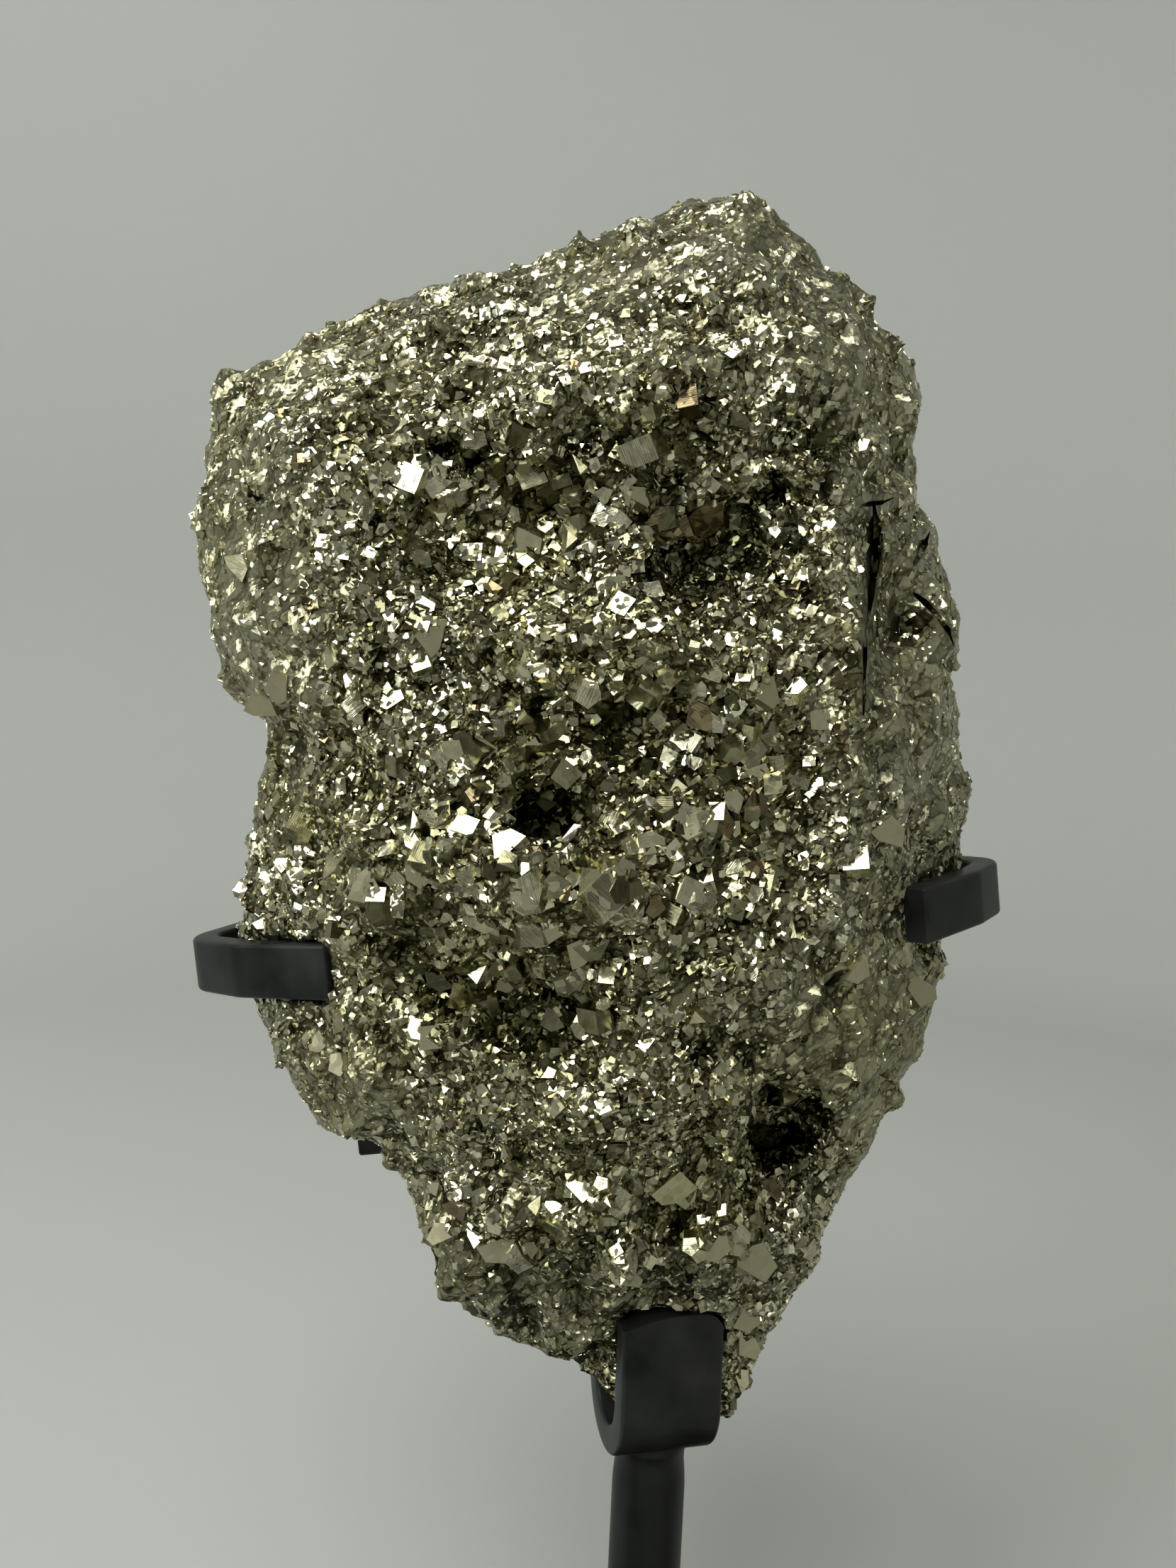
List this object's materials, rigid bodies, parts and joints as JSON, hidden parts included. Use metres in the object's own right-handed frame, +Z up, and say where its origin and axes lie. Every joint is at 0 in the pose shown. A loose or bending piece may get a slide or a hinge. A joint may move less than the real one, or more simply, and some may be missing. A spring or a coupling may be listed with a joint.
{
  "type": "pyrite specimen",
  "caption": "Tall mass of intergrown pyrite crystals held upright by a black steel stand: round foot, post, hook below and bent claws at both sides.",
  "frame": {"origin": "centre of the round foot's underside, on the post's axis", "axes": "+Z up along the post, -Y towards the viewer, +X to the viewer's right"},
  "size_m": [0.1863, 0.16, 0.3798],
  "materials": {
    "pyrite": "bright metallic pale brass crystals with a green-grey tarnish",
    "black_paint": "satin black paint over steel"
  },
  "bodies": {
    "root": {"pyrite": "pyrite", "base": "black_paint", "post": "black_paint", "hook": "black_paint", "spine": "black_paint", "claw_bar": "black_paint", "lower_bar": "black_paint"}
  },
  "joints": []
}
